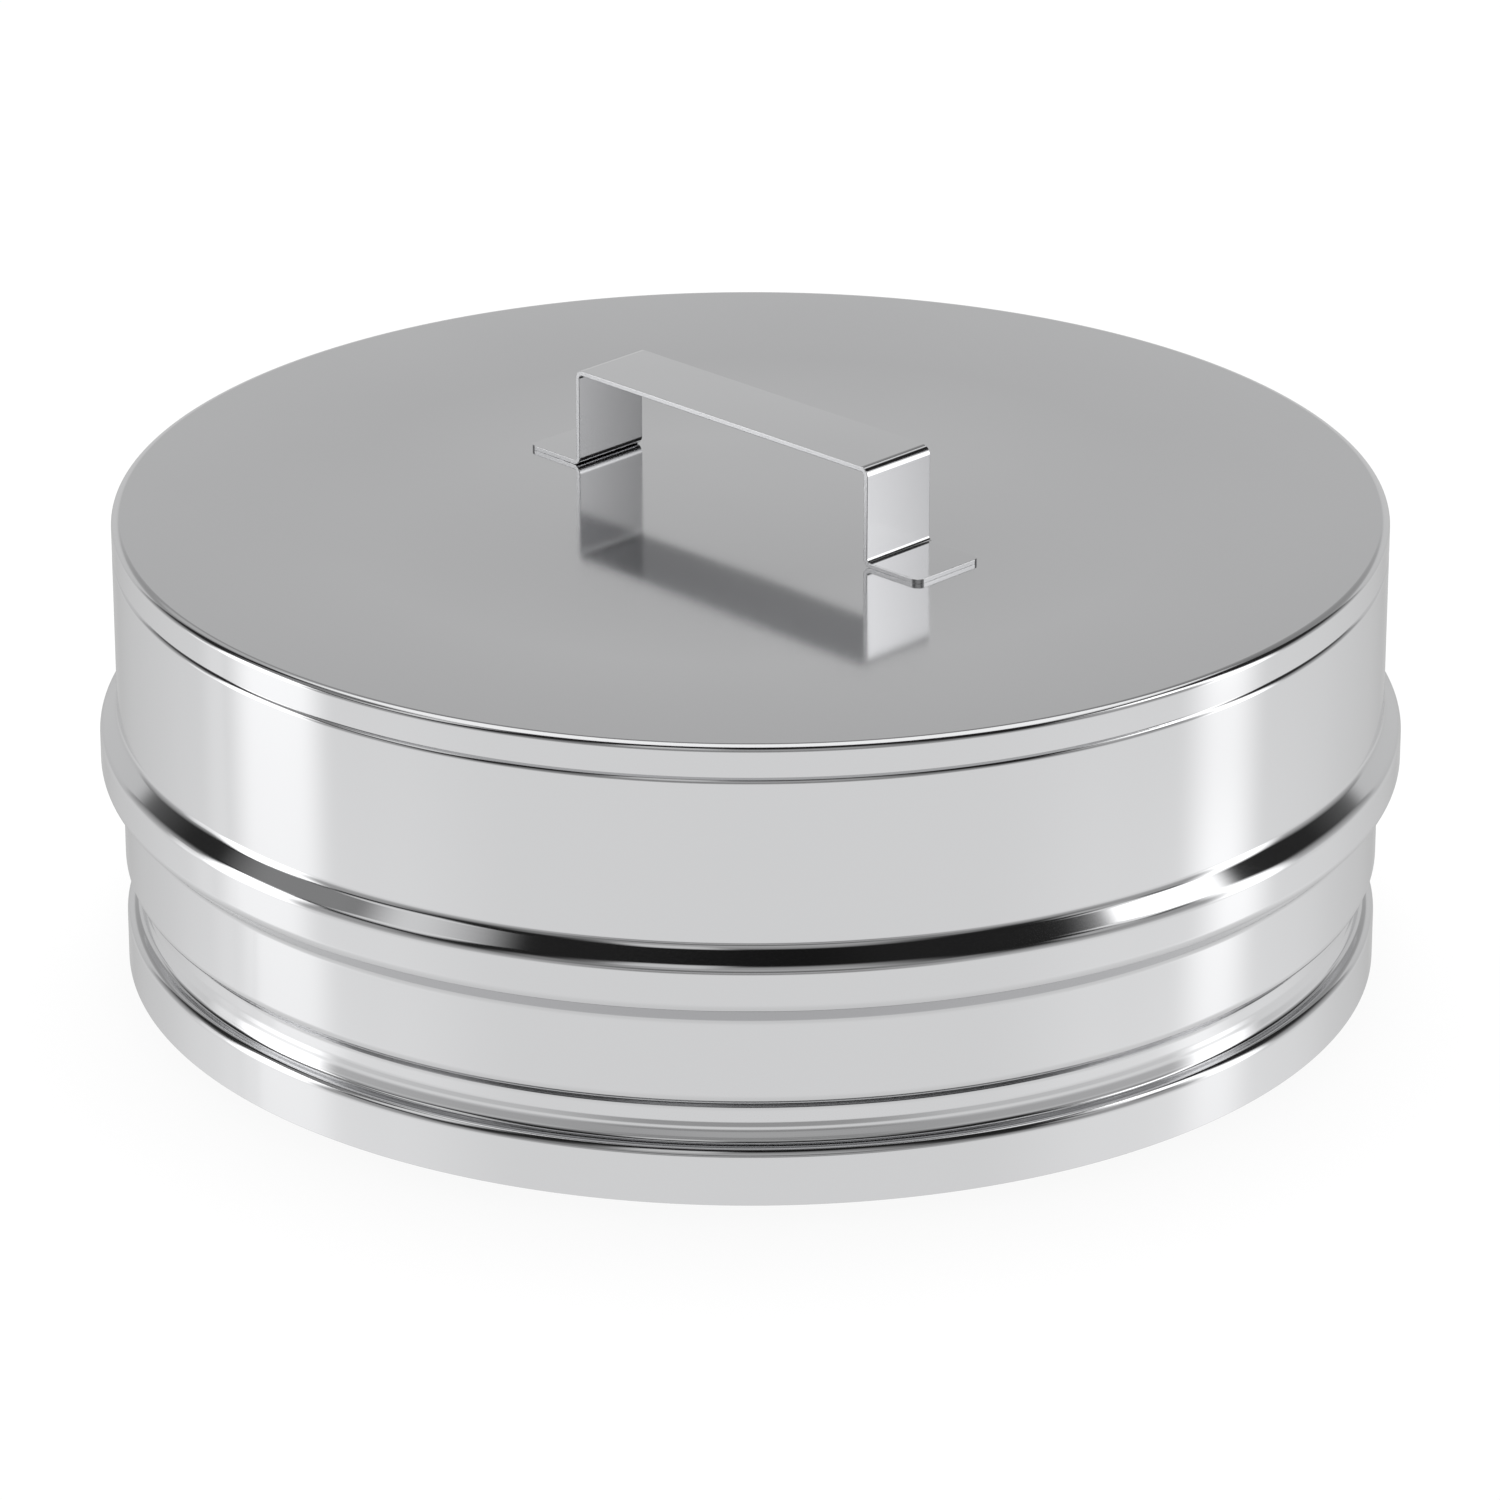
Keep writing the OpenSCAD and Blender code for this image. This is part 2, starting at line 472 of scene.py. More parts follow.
def turned_sheet(name, section, closed, turns):
    """Turns a section round the pipe's axis. An open section starts and ends on the axis."""
    vertices, normals, faces, rings = [], [], [], []
    for point, side in section:
        first = len(vertices)
        if point.x < TINY:
            vertices.append((0.0, 0.0, point.y))
            normals.append((0.0, 0.0, math.copysign(1.0, side.y)))
            rings.append([first] * turns)
            continue
        for k in range(turns):
            angle = 2 * math.pi * (k + 0.5) / turns
            c, s = math.cos(angle), math.sin(angle)
            vertices.append((point.x * c, point.x * s, point.y))
            normals.append((side.x * c, side.x * s, side.y))
        rings.append(list(range(first, first + turns)))
    pairs = list(zip(rings, rings[1:]))
    if closed:
        pairs.append((rings[-1], rings[0]))
    for upper, lower in pairs:
        for k in range(turns):
            m = (k + 1) % turns
            quad = [upper[k], lower[k], lower[m], upper[m]]
            face = [v for i, v in enumerate(quad) if v not in quad[:i]]
            faces.append(face)
    return new_piece(name, vertices, faces, normals)


# Nodes


def bare_tree(owner):
    """The emptied node tree of a material or a world."""
    owner.use_nodes = True
    owner.node_tree.nodes.clear()
    return owner.node_tree


def add_node(tree, kind, x, y, **values):
    """Adds a node at a place in the node tree and sets its own values."""
    node = tree.nodes.new(kind)
    node.location = (x, y)
    for name, value in values.items():
        setattr(node, name, value)
    return node


def feed(tree, socket, value):
    """Gives an input a number, or links it to another node's output."""
    if isinstance(value, (int, float)):
        socket.default_value = value
    else:
        tree.links.new(value, socket)


def maths(tree, operation, a, b, x, y):
    """A Math node of a and b, each an output or a number. Where it takes one input, b is None."""
    node = add_node(tree, "ShaderNodeMath", x, y, operation=operation)
    feed(tree, node.inputs[0], a)
    if b is not None:
        feed(tree, node.inputs[1], b)
    return node.outputs[0]


def blended(tree, factor, a, b, x, y):
    """A mix of the numbers a and b."""
    node = add_node(tree, "ShaderNodeMix", x, y, data_type="FLOAT")
    for socket, value in ((node.inputs[0], factor), (node.inputs[2], a), (node.inputs[3], b)):
        feed(tree, socket, value)
    return node.outputs[0]


# Highest brightness that a list of stops may hold
BRIGHTEST = 2.0


def levels(tree, source, stops, span, x, y, smooth=True):
    """Brightness by position: stops are (position, brightness), over a span from low to high."""
    low, high = span
    spread = add_node(tree, "ShaderNodeMapRange", x, y, clamp=True)
    spread.inputs["From Min"].default_value = low
    spread.inputs["From Max"].default_value = high
    tree.links.new(source, spread.inputs["Value"])
    node = add_node(tree, "ShaderNodeValToRGB", x + 180, y)
    node.color_ramp.interpolation = "EASE" if smooth else "LINEAR"
    elements = node.color_ramp.elements
    while len(elements) > 1:
        elements.remove(elements[-1])
    for i, (position, level) in enumerate(stops):
        share = (position - low) / (high - low)
        element = elements[0] if i == 0 else elements.new(share)
        element.position = share
        grey = level / BRIGHTEST
        element.color = (grey, grey, grey, 1.0)
    tree.links.new(spread.outputs["Result"], node.inputs["Fac"])
    return maths(tree, "MULTIPLY", node.outputs["Color"], BRIGHTEST, x + 460, y)


# Steel

# Scale of the grain along its three ways: very fine across the way of rolling, long along it
GRAIN_ROUND = (2.5, 1.0, 2600.0)
GRAIN_STRAIGHT = (30.0, 2600.0, 30.0)
GRAIN_DETAIL = 3.0
GRAIN_HEIGHT = 0.05 * MM
# Scale and detail of the faint clouds in the finish, and the range of the noise that shows
CLOUD_SCALE = 22.0
CLOUD_DETAIL = 4.0
CLOUD_RANGE = (0.3, 0.7)
# The strap's face counts as cut where it points sideways by this share, or this near a foot's end
SIDEWAYS = 0.5
END_BAND = 0.25 * MM


def grain_stretch(tree, place, along):
    """Place on the sheet, stretched along its grain, which runs round the pipe or straight."""
    stretch = add_node(tree, "ShaderNodeMapping", -900, 200)
    if along == "round":
        split = add_node(tree, "ShaderNodeSeparateXYZ", -1300, 200)
        tree.links.new(place.outputs["Object"], split.inputs[0])
        angle = maths(tree, "ARCTAN2", split.outputs[1], split.outputs[0], -1300, 0)
        joined = add_node(tree, "ShaderNodeCombineXYZ", -1100, 200)
        tree.links.new(angle, joined.inputs[0])
        tree.links.new(split.outputs[2], joined.inputs[2])
        tree.links.new(joined.outputs[0], stretch.inputs["Vector"])
        stretch.inputs["Scale"].default_value = GRAIN_ROUND
    else:
        tree.links.new(place.outputs["Object"], stretch.inputs["Vector"])
        stretch.inputs["Scale"].default_value = GRAIN_STRAIGHT
    return stretch.outputs[0]


def rolled_grain(tree, place, along, strength):
    """Direction of the surface with its fine grain."""
    grain = add_node(tree, "ShaderNodeTexNoise", -700, 200)
    grain.inputs["Scale"].default_value = 1.0
    grain.inputs["Detail"].default_value = GRAIN_DETAIL
    tree.links.new(grain_stretch(tree, place, along), grain.inputs["Vector"])
    bump = add_node(tree, "ShaderNodeBump", 300, -300)
    bump.inputs["Strength"].default_value = strength
    bump.inputs["Distance"].default_value = GRAIN_HEIGHT
    tree.links.new(grain.outputs["Fac"], bump.inputs["Height"])
    return bump.outputs["Normal"]


def cloudy_roughness(tree, place, steel):
    """Roughness that changes a little over the sheet, in faint clouds."""
    cloud = add_node(tree, "ShaderNodeTexNoise", -700, -100)
    cloud.inputs["Scale"].default_value = CLOUD_SCALE
    cloud.inputs["Detail"].default_value = CLOUD_DETAIL
    tree.links.new(place.outputs["Object"], cloud.inputs["Vector"])
    rough = add_node(tree, "ShaderNodeMapRange", -300, -100)
    rough.inputs["From Min"].default_value = CLOUD_RANGE[0]
    rough.inputs["From Max"].default_value = CLOUD_RANGE[1]
    rough.inputs["To Min"].default_value = steel.roughness - steel.roughness_spread
    rough.inputs["To Max"].default_value = steel.roughness + steel.roughness_spread
    tree.links.new(cloud.outputs["Fac"], rough.inputs["Value"])
    return rough.outputs["Result"]


def cut_edges(tree, place, half_length, x, y):
    """One on the strap's cut edges, which face sideways or lie at the feet's ends, else nought."""
    facing = add_node(tree, "ShaderNodeSeparateXYZ", x, y)
    tree.links.new(place.outputs["Normal"], facing.inputs[0])
    spot = add_node(tree, "ShaderNodeSeparateXYZ", x, y - 200)
    tree.links.new(place.outputs["Object"], spot.inputs[0])
    aside = maths(tree, "ABSOLUTE", facing.outputs[1], None, x + 180, y)
    aside = maths(tree, "GREATER_THAN", aside, SIDEWAYS, x + 360, y)
    out = maths(tree, "ABSOLUTE", spot.outputs[0], None, x + 180, y - 200)
    out = maths(tree, "GREATER_THAN", out, half_length - END_BAND, x + 360, y - 200)
    return maths(tree, "MAXIMUM", aside, out, x + 540, y)


def bright_steel(name, steel, along, half_length=None):
    """Bright rolled stainless with a fine grain and faint clouds. With a strap's half length given,
    its sheared edges are duller."""
    material = bpy.data.materials.new(name)
    tree = bare_tree(material)
    out = add_node(tree, "ShaderNodeOutputMaterial", 900, 0)
    shader = add_node(tree, "ShaderNodeBsdfPrincipled", 600, 0)
    shader.inputs["Metallic"].default_value = 1.0
    shader.inputs["Base Color"].default_value = (*steel.colour, 1.0)
    tree.links.new(shader.outputs["BSDF"], out.inputs["Surface"])
    place = add_node(tree, "ShaderNodeTexCoord", -1500, 0)
    roughness = cloudy_roughness(tree, place, steel)
    if half_length:
        cut = cut_edges(tree, place, half_length, -1100, -500)
        roughness = blended(tree, cut, roughness, steel.cut_roughness, 300, -100)
    tree.links.new(roughness, shader.inputs["Roughness"])
    tree.links.new(rolled_grain(tree, place, along, steel.grain), shader.inputs["Normal"])
    return material


# Handle


def strap_stations(sizes):
    """Places along the strap: (point on the upper face, way along, way out, half width, end turn)."""
    base = LID_HIGH.z
    leg = sizes.length / 2 - sizes.foot
    edge, half = sizes.deburr, sizes.width / 2
    path = [
        (-sizes.length / 2, base + sizes.strap, 0.0),
        (-leg, base + sizes.strap, sizes.bend),
        (-leg, base + sizes.height, sizes.bend + sizes.strap),
        (leg, base + sizes.height, sizes.bend + sizes.strap),
        (leg, base + sizes.strap, sizes.bend),
        (sizes.length / 2, base + sizes.strap, 0.0),
    ]
    stations = []
    for point, out in bent_section(path, False)[1:-1]:
        along = -left_of(out)
        stations.append((point, along, out, half - edge, 0.0))
    round_end = []
    inner = sizes.corner - edge
    for k in range(CORNER_STEPS + 1):
        turn = math.pi / 2 * k / CORNER_STEPS
        x = sizes.length / 2 - sizes.corner + inner * math.sin(turn)
        reach = half - sizes.corner + inner * math.cos(turn)
        round_end.append((x, reach, turn))
    level = base + sizes.strap
    right = [(Vector((x, level)), Vector((1, 0)), Vector((0, 1)), r, t) for x, r, t in round_end]
    left = [(Vector((-x, level)), Vector((1, 0)), Vector((0, 1)), r, -t) for x, r, t in round_end]
    return left[::-1] + stations + right


def strap_rim(sizes):
    """Round a cut edge from the upper face to the lower: (outward, depth, normal out, normal up)."""
    edge = sizes.deburr
    turns = [math.pi / 2 * k / EDGE_STEPS for k in range(EDGE_STEPS + 1)]
    rim = []
    for turn in turns:
        depth = edge - edge * math.cos(turn)
        rim.append((edge * math.sin(turn), depth, math.sin(turn), math.cos(turn)))
    for turn in turns:
        depth = sizes.strap - edge + edge * math.sin(turn)
        rim.append((edge * math.cos(turn), depth, math.cos(turn), -math.sin(turn)))
    return rim


def folded_strap(sizes):
    """Mesh of the strap: a flat blank with round corners and deburred edges, folded to shape."""
    stations, rim = strap_stations(sizes), strap_rim(sizes)
    vertices, normals, faces, sides = [], [], [], []
    for point, along, out, reach, turn in stations:
        pair = []
        for side in (-1, 1):
            row = []
            for outward, depth, n_out, n_up in rim:
                flat = point + along * (math.sin(turn) * outward) - out * depth
                across = side * (reach + math.cos(turn) * outward)
                facing = along * (math.sin(turn) * n_out) + out * n_up
                row.append(len(vertices))
                vertices.append((flat.x, across, flat.y))
                normals.append((facing.x, side * math.cos(turn) * n_out, facing.y))
            pair.append(row)
        sides.append(pair)
    for (front, back), (front_next, back_next) in zip(sides, sides[1:]):
        faces.append((front[0], front_next[0], back_next[0], back[0]))
        faces.append((back[-1], back_next[-1], front_next[-1], front[-1]))
        for k in range(len(rim) - 1):
            faces.append((front[k], front[k + 1], front_next[k + 1], front_next[k]))
            faces.append((back[k], back_next[k], back_next[k + 1], back[k + 1]))
    for (front, back), flip in ((sides[0], True), (sides[-1], False)):
        for k in range(len(rim) - 1):
            face = (front[k], front[k + 1], back[k + 1], back[k])
            faces.append(face[::-1] if flip else face)
    return vertices, faces, normals


# Studio

# Spans of the lists below, in degrees: bearing from the camera (negative is left), bearing to
# either side of it, and height above level. The last two are places beside the cap in metres, and
# on the ceiling in heights of the ceiling
BEARING = (-180, 180)
APART = (0, 180)
HEIGHT = (-90, 90)
METRES = (-0.5, 0.5)
CEILING = (-2, 2)

# Brightness of the pale floor, by bearing to either side
FLOOR_LEVELS = (
    (0, 1.02), (63, 1.03), (112, 0.98), (125, 0.93), (137, 0.85), (149, 0.74), (161, 0.60), (172, 0.58),
)
# Brighter stretch of floor beside the cap, by bearing to either side and by height
GLOW_ROUND = ((40, 0.0), (70, 0.13), (94, 0.25), (115, 0.13), (140, 0.0))
GLOW_HEIGHT = ((-40, 0.0), (-32, 0.6), (-25.5, 1.0), (-22, 0.15), (-16, 0.0))
# How much darker the floor is straight under the cap, by height
UNDER_CAP = ((-90, 0.85), (-60, 0.9), (-35, 1.0))

# Brightness of the room by height: over the camera, beside the cap and behind it
FRONT_LEVELS = (
    (-15, 1.0), (-10, 0.87), (-6, 0.52), (-3, 0.38), (0, 0.38), (3, 0.46), (6, 0.7), (9, 0.32),
    (12, 0.19), (16, 0.2), (20, 0.47), (25, 0.6), (32, 0.46), (44, 0.41), (55, 0.05), (60, 0.01),
    (90, 0.02),
)
BESIDE_LEVELS = (
    (-15, 0.92), (-8, 0.8), (-2, 0.65), (4, 0.52), (10, 0.42), (17.5, 0.22), (20, 0.12), (23, 0.07),
    (26, 0.03), (44, 0.02), (90, 0.02),
)
BACK_LEVELS = (
    (-15, 0.62), (0, 0.73), (10, 0.77), (18, 0.78), (19.5, 0.76), (20.2, 0.725), (21, 0.65),
    (21.8, 0.55), (22.5, 0.51), (26, 0.44), (30, 0.38), (38, 0.33), (44, 0.2), (60, 0.05), (90, 0.02),
)
# Where the front of the room turns into its side, and the side into its back
TO_SIDE = ((15, 0.0), (42, 1.0))
TO_BACK = ((130.5, 0.0), (134.5, 1.0))
# Where the room takes over from the floor
ABOVE_FLOOR = ((-14, 0.0), (-5, 1.0))
# Faint haze on both sides of the room, by bearing to either side and by height
HAZE_ROUND = ((52, 0.0), (66, 1.0), (100, 1.0), (112, 0.0))
HAZE_HEIGHT = ((2, 0.0), (10, 0.5), (18, 0.48), (27, 0.0))

# The light overhead, by its place on the ceiling: towards the camera, and to either side
TOP_FORWARD = ((-0.98, 0.0), (-0.76, 1.0), (0.05, 1.0), (0.2, 0.0))
TOP_ASIDE = ((0.5, 1.0), (0.75, 0.0))
# Least rise with which a direction is followed to the ceiling
LEAST_RISE = 0.05

# Soft boxes round the cap, each with its bearing from the camera (negative is left), half width,
# height in degrees above level, half height, softness of its edges and brightness
SOFT_BOXES = (
    (-16, 5, 44, 8, 12, 0.8),
    (30, 6, 18, 4, 14, 0.33),
    (-30, 6, 20, 4, 16, 0.3),
    (66, 4, 26, 4, 9, 0.6),
    (80, 4, 39, 5, 9, 1.2),
    (-74, 7, 45, 5, 12, 1.0),
    (-102, 10, 42, 5, 8, 0.33),
    (-98, 4, 27, 3, 6, 1.0),
    (-152, 10, 38, 6, 9, 0.6),
)

# Brightness of the tall lights by height in metres, which fades under the floor's level
RIGHT_FADE = (
    (-0.30, 0.0), (-0.22, 0.1), (-0.175, 0.18), (-0.15, 0.25), (-0.12, 0.2), (-0.10, 0.22),
    (-0.09, 0.33), (-0.05, 0.8), (0.0, 1.0),
)
LEFT_FADE = (
    (-0.30, 0.0), (-0.21, 0.09), (-0.175, 0.14), (-0.15, 0.18), (-0.128, 0.21), (-0.09, 0.26),
    (-0.05, 0.8), (0.0, 1.0),
)
# Distance of the tall lights from the pipe's axis
PANEL_REACH = 0.55
# Tall lights: name, side (1 is right), span towards the camera, span in height, share of the
# strip lights' brightness, width of the soft edges, and the fade where it has one
PANELS = (
    ("strip_light_right", 1, (-0.052, 0.17), (-0.30, 0.38), 1.0, 0.10, RIGHT_FADE),
    ("strip_light_right_top", 1, (-0.05, 0.18), (0.38, 0.655), 1.0, 0.05, None),
    ("strip_light_left", -1, (-0.075, 0.19), (-0.30, 0.30), 1.0, 0.08, LEFT_FADE),
    ("haze_light_left", -1, (-0.16, -0.01), (-0.30, 0.10), 0.25, 0.06, LEFT_FADE),
)

# The floor's reach from the cap, its level just under the rim, and the grey of its paper
FLOOR_REACH = 30.0
FLOOR_LEVEL = -0.2 * MM
PAPER_GREY = 0.9

# The soft lamp's width, its place, and the spot that it points at
LAMP_SIZE = 1.2
LAMP_PLACE = (-0.25, 0.3, 1.6)
LAMP_AIM = (0.0, 0.0, 0.05)


def lay_floor(studio):
    """A plain pale floor that looks white and keeps a soft share of the cap's shadow."""
    ends = ((-1, -1), (1, -1), (1, 1), (-1, 1))
    corners = [(x * FLOOR_REACH, y * FLOOR_REACH, FLOOR_LEVEL) for x, y in ends]
    mesh = bpy.data.meshes.new("studio_floor")
    mesh.from_pydata(corners, [], [(0, 1, 2, 3)])
    floor = bpy.data.objects.new("studio_floor", mesh)
    bpy.context.scene.collection.objects.link(floor)
    floor.visible_glossy = False
    material = bpy.data.materials.new("floor_paper")
    tree = bare_tree(material)
    out = add_node(tree, "ShaderNodeOutputMaterial", 600, 0)
    mix = add_node(tree, "ShaderNodeMixShader", 400, 0)
    paper = add_node(tree, "ShaderNodeBsdfDiffuse", 100, 100)
    paper.inputs["Color"].default_value = (PAPER_GREY, PAPER_GREY, PAPER_GREY, 1.0)
    white = add_node(tree, "ShaderNodeEmission", 100, -100)
    light = add_node(tree, "ShaderNodeLightPath", -500, 0)
    seen = light.outputs["Is Camera Ray"]
    seen = maths(tree, "MAXIMUM", seen, light.outputs["Is Glossy Ray"], -300, 0)
    seen = maths(tree, "MAXIMUM", seen, light.outputs["Is Transmission Ray"], -120, 0)
    share = maths(tree, "MULTIPLY", seen, 1.0 - studio.floor_shade, 60, -250)
    tree.links.new(share, mix.inputs["Fac"])
    tree.links.new(paper.outputs[0], mix.inputs[1])
    tree.links.new(white.outputs[0], mix.inputs[2])
    tree.links.new(mix.outputs[0], out.inputs["Surface"])
    mesh.materials.append(material)


def plateau(middle, half, edge):
    """Stops of a light that is full over its half width and fades out over its soft edges."""
    low, high = middle - half, middle + half
    return (low - edge, 0.0), (low, 1.0), (high, 1.0), (high + edge, 0.0)


def soft_box(tree, side, rise, box, x, y):
    """Brightness of one of the soft boxes."""
    bearing, half_width, height, half_height, edge, level = box
    across = levels(tree, side, plateau(bearing, half_width, edge), BEARING, x, y)
    upward = levels(tree, rise, plateau(height, half_height, edge), HEIGHT, x, y - 300)
    shape = maths(tree, "MULTIPLY", across, upward, x + 700, y)
    return maths(tree, "MULTIPLY", shape, level, x + 860, y)


def top_light(tree, ahead, aside, up, level):
    """A wide soft light overhead, which lies a little behind the cap: its place on the ceiling."""
    height = maths(tree, "MAXIMUM", up, LEAST_RISE, -300, -6000)
    forward = maths(tree, "DIVIDE", ahead, height, -120, -6000)
    sideways = maths(tree, "DIVIDE", aside, height, -120, -6200)
    sideways = maths(tree, "ABSOLUTE", sideways, None, 60, -6200)
    along = levels(tree, forward, TOP_FORWARD, CEILING, 240, -6000)
    across = levels(tree, sideways, TOP_ASIDE, CEILING, 240, -6300)
    shape = maths(tree, "MULTIPLY", along, across, 900, -6000)
    return maths(tree, "MULTIPLY", shape, level, 1060, -6000)


def floor_light(tree, apart, rise):
    """Brightness of the pale floor, as the steel mirrors it."""
    floor_round = levels(tree, apart, FLOOR_LEVELS, APART, -300, 600, False)
    glow_round = levels(tree, apart, GLOW_ROUND, APART, -300, 900)
    glow_height = levels(tree, rise, GLOW_HEIGHT, HEIGHT, -300, 1200, False)
    glow = maths(tree, "MULTIPLY", glow_round, glow_height, 500, 900)
    under_cap = levels(tree, rise, UNDER_CAP, HEIGHT, -300, 1500, False)
    bright = maths(tree, "ADD", floor_round, glow, 700, 700)
    return maths(tree, "MULTIPLY", bright, under_cap, 900, 700)


def room_walls(tree, apart, rise):
    """Brightness of the room's walls, with the haze on both sides."""
    front = levels(tree, rise, FRONT_LEVELS, HEIGHT, -300, 300, False)
    beside = levels(tree, rise, BESIDE_LEVELS, HEIGHT, -300, 0, False)
    back = levels(tree, rise, BACK_LEVELS, HEIGHT, -300, -300, False)
    to_side = levels(tree, apart, TO_SIDE, APART, -300, -600)
    to_back = levels(tree, apart, TO_BACK, APART, -300, -900)
    walls = blended(tree, to_side, front, beside, 500, 100)
    walls = blended(tree, to_back, walls, back, 700, 0)
    haze_round = levels(tree, apart, HAZE_ROUND, APART, -300, -1500)
    haze_height = levels(tree, rise, HAZE_HEIGHT, HEIGHT, -300, -1800)
    haze = maths(tree, "MULTIPLY", haze_round, haze_height, 500, -1500)
    return maths(tree, "MAXIMUM", walls, haze, 800, -400)


def level_share(tree, place, direction, x, y):
    """How much a direction in the studio points along another, from -1 to 1."""
    dot = add_node(tree, "ShaderNodeVectorMath", x, y, operation="DOT_PRODUCT")
    tree.links.new(place, dot.inputs[0])
    dot.inputs[1].default_value = direction
    return dot.outputs["Value"]


def light_studio(scene, studio):
    """Pale floor and back, and a dark room over the camera with soft lights in it."""
    world = bpy.data.worlds.new("studio")
    scene.world = world
    tree = bare_tree(world)
    out = add_node(tree, "ShaderNodeOutputWorld", 2400, 0)
    sky = add_node(tree, "ShaderNodeBackground", 2200, 0)
    sky.inputs["Color"].default_value = (1.0, 1.0, 1.0, 1.0)
    tree.links.new(sky.outputs[0], out.inputs["Surface"])
    place = add_node(tree, "ShaderNodeTexCoord", -1200, 0).outputs["Generated"]
    parts = add_node(tree, "ShaderNodeSeparateXYZ", -1000, -300)
    tree.links.new(place, parts.inputs[0])
    up = parts.outputs[2]
    ahead = level_share(tree, place, TO_CAMERA, -1000, 0)
    aside = level_share(tree, place, TO_RIGHT, -1000, 200)
    rise = maths(tree, "DEGREES", maths(tree, "ARCSINE", up, None, -800, -300), None, -640, -300)
    side = maths(tree, "DEGREES", maths(tree, "ARCTAN2", aside, ahead, -800, 100), None, -640, 100)
    apart = maths(tree, "ABSOLUTE", side, None, -480, 200)
    room_light = room_walls(tree, apart, rise)
    overhead = top_light(tree, ahead, aside, up, studio.top_level)
    room_light = maths(tree, "MAXIMUM", room_light, overhead, 830, -450)
    for i, box in enumerate(SOFT_BOXES):
        box_light = soft_box(tree, side, rise, box, -300, -2100 - 600 * i)
        room_light = maths(tree, "MAXIMUM", room_light, box_light, 860, -500)
    above = levels(tree, rise, ABOVE_FLOOR, HEIGHT, -300, -1200)
    level = blended(tree, above, floor_light(tree, apart, rise), room_light, 900, 100)
    light = add_node(tree, "ShaderNodeLightPath", 1400, 400)
    seen = blended(tree, light.outputs["Is Camera Ray"], level, 1.0, 1800, 0)
    tree.links.new(seen, sky.inputs["Strength"])


def panel_glow(name, forward, level, soft, fade):
    """Material of a tall light: it glows with soft edges, and anything behind it shows through."""
    near, far = forward
    material = bpy.data.materials.new(name)
    tree = bare_tree(material)
    out = add_node(tree, "ShaderNodeOutputMaterial", 600, 0)
    mix = add_node(tree, "ShaderNodeAddShader", 400, 0)
    clear = add_node(tree, "ShaderNodeBsdfTransparent", 100, 150)
    glow = add_node(tree, "ShaderNodeEmission", 100, -100)
    place = add_node(tree, "ShaderNodeNewGeometry", -1100, 0).outputs["Position"]
    ahead = level_share(tree, place, TO_CAMERA, -900, 300)
    stops = ((near, 0.0), (near + soft, 1.0), (far - soft, 1.0), (far, 0.0))
    across = levels(tree, ahead, stops, METRES, -700, 300)
    strength = maths(tree, "MULTIPLY", across, level, -200, 0)
    if fade:
        parts = add_node(tree, "ShaderNodeSeparateXYZ", -900, 0)
        tree.links.new(place, parts.inputs[0])
        height = levels(tree, parts.outputs[2], fade, METRES, -700, 0, False)
        strength = maths(tree, "MULTIPLY", height, strength, -60, -100)
    tree.links.new(strength, glow.inputs["Strength"])
    tree.links.new(clear.outputs[0], mix.inputs[0])
    tree.links.new(glow.outputs[0], mix.inputs[1])
    tree.links.new(mix.outputs[0], out.inputs["Surface"])
    return material


def set_panels(studio):
    """The tall soft lights on both sides of the cap, which only the steel's gloss shows."""
    for name, side, (near, far), (low, high), share, soft, fade in PANELS:
        corners = []
        for forward, up in ((near, low), (far, low), (far, high), (near, high)):
            spot = Vector(TO_RIGHT) * side * PANEL_REACH + Vector(TO_CAMERA) * forward
            corners.append((spot.x, spot.y, up))
        mesh = bpy.data.meshes.new(name)
        mesh.from_pydata(corners, [], [(0, 1, 2, 3)])
        mesh.materials.append(panel_glow(name, (near, far), share * studio.strip_level, soft, fade))
        panel = bpy.data.objects.new(name, mesh)
        bpy.context.scene.collection.objects.link(panel)
        panel.visible_camera = False
        panel.visible_diffuse = False
        panel.visible_shadow = False


def hang_lamp(studio):
    """One large soft lamp over the cap, which gives the floor its shadow."""
    lamp = bpy.data.lights.new("soft_lamp", "AREA")
    lamp.shape = "DISK"
    lamp.size = LAMP_SIZE
    lamp.energy = studio.lamp_power
    holder = bpy.data.objects.new("soft_lamp", lamp)
    holder.location = LAMP_PLACE
    holder.visible_glossy = False
    aim = Vector(LAMP_AIM) - holder.location
    holder.rotation_mode = "QUATERNION"
    holder.rotation_quaternion = aim.to_track_quat("-Z", "Y")
    bpy.context.scene.collection.objects.link(holder)


def place_camera(scene):
    """The photograph's camera: a long lens from a little above."""
    data = bpy.data.cameras.new("camera")
    data.sensor_width = 36.0
    data.lens = CAMERA_LENS
    data.clip_start, data.clip_end = 0.05, 100.0
    camera = bpy.data.objects.new("camera", data)
    camera.location = (CAMERA_REACH * TO_CAMERA[0], CAMERA_REACH * TO_CAMERA[1], CAMERA_HEIGHT)
    camera.rotation_euler = (math.pi / 2 - CAMERA_PITCH, 0.0, CAMERA_BEARING + CAMERA_TURN)
    scene.collection.objects.link(camera)
    scene.camera = camera


# Operators


class ENDCAP_OT_shell(Operator):
    """Rolls the shell with its stop bead and seal groove."""

    bl_idname = "endcap.shell"
    bl_label = "Shell"

    def execute(self, context):
        scene = context.scene
        sizes, lid = scene.cap_shell, scene.cap_lid
        loop = closed_sheet(shell_corners(sizes, lid), sizes.sheet, sizes.deburr)
        section = bent_section(loop, True)
        shell = turned_sheet("rolled_shell", section, True, sizes.turns)
        shell.data.materials.append(bright_steel("rolled_bright_steel", scene.cap_steel, "round"))
        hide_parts("shell")
        return {"FINISHED"}


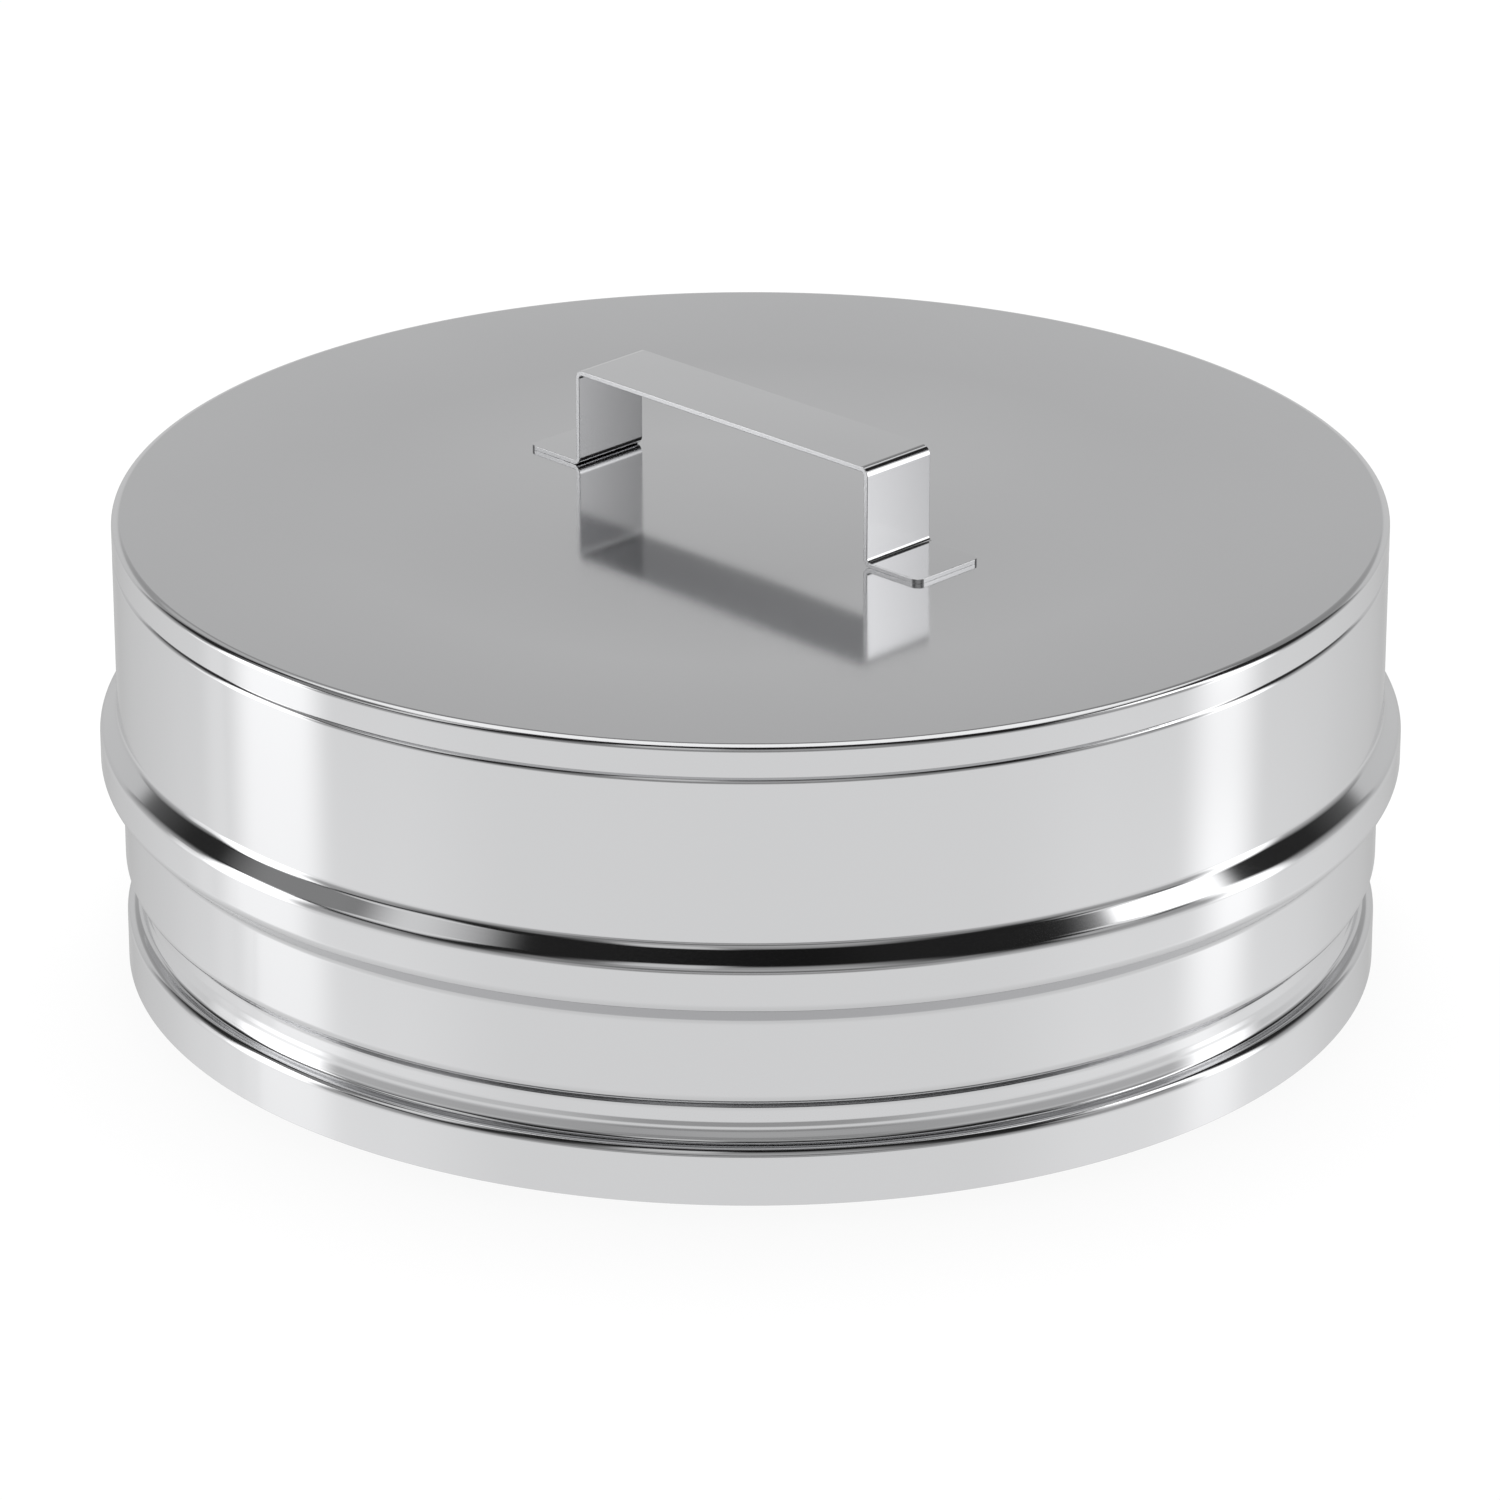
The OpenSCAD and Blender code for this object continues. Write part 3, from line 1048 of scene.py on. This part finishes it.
class ENDCAP_OT_lid(Operator):
    """Presses the lid with its flat middle, raised rim and skirt."""

    bl_idname = "endcap.lid"
    bl_label = "Lid"

    def execute(self, context):
        scene = context.scene
        sizes, shell = scene.cap_lid, scene.cap_shell
        outside = lid_corners(sizes, shell)
        inside = other_face(outside, sizes.sheet)
        inside[-1] = (inside[-1][0], inside[-1][1], shell.deburr)
        section = bent_section(outside + inside[::-1], False)
        lid = turned_sheet("pressed_lid", section, False, shell.turns)
        lid.data.materials.append(bright_steel("pressed_bright_steel", scene.cap_steel, "straight"))
        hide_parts("lid")
        return {"FINISHED"}


class ENDCAP_OT_handle(Operator):
    """Folds the strap handle and sets it on the lid."""

    bl_idname = "endcap.handle"
    bl_label = "Handle"

    def execute(self, context):
        scene = context.scene
        sizes = scene.cap_handle
        vertices, faces, normals = folded_strap(sizes)
        handle = new_piece("strap_handle", vertices, faces, normals)
        steel = bright_steel("strap_bright_steel", scene.cap_steel, "straight", sizes.length / 2)
        handle.data.materials.append(steel)
        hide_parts("handle")
        return {"FINISHED"}


class ENDCAP_OT_stage(Operator):
    """Sets the pale floor, the studio round it, the lamp and the camera."""

    bl_idname = "endcap.stage"
    bl_label = "Stage"

    def execute(self, context):
        studio = context.scene.cap_studio
        lay_floor(studio)
        light_studio(context.scene, studio)
        set_panels(studio)
        hang_lamp(studio)
        place_camera(context.scene)
        context.scene.view_settings.view_transform = "Standard"
        return {"FINISHED"}


class ENDCAP_PT_panel(Panel):
    """Lists the cap's pieces, sizes and steel in the sidebar."""

    bl_label = "Flue Pipe End Cap"
    bl_idname = "ENDCAP_PT_panel"
    bl_space_type = "VIEW_3D"
    bl_region_type = "UI"
    bl_category = "End Cap"

    def draw(self, context):
        layout = self.layout
        for owner in GROUPS:
            group = getattr(context.scene, owner)
            box = layout.box()
            for name in group.__annotations__:
                box.prop(group, name)
        for operator in OPERATORS:
            layout.operator(operator.bl_idname)


GROUPS = {
    "cap_shell": CapShellSizes,
    "cap_lid": CapLidSizes,
    "cap_handle": CapHandleSizes,
    "cap_steel": CapSteel,
    "cap_studio": CapStudio,
}
OPERATORS = (ENDCAP_OT_shell, ENDCAP_OT_lid, ENDCAP_OT_handle, ENDCAP_OT_stage)
CLASSES = (*GROUPS.values(), *OPERATORS, ENDCAP_PT_panel)


def register():
    """Adds the classes, and the cap's sizes and finish to every scene."""
    for item in CLASSES:
        bpy.utils.register_class(item)
    for name, group in GROUPS.items():
        setattr(bpy.types.Scene, name, PointerProperty(type=group))


def unregister():
    """Takes away what register adds."""
    for name in GROUPS:
        delattr(bpy.types.Scene, name)
    for item in reversed(CLASSES):
        bpy.utils.unregister_class(item)


def main():
    """Makes the pieces and the stage."""
    register()
    bpy.ops.endcap.shell()
    bpy.ops.endcap.lid()
    bpy.ops.endcap.handle()
    bpy.ops.endcap.stage()


if __name__ == "__main__":
    main()
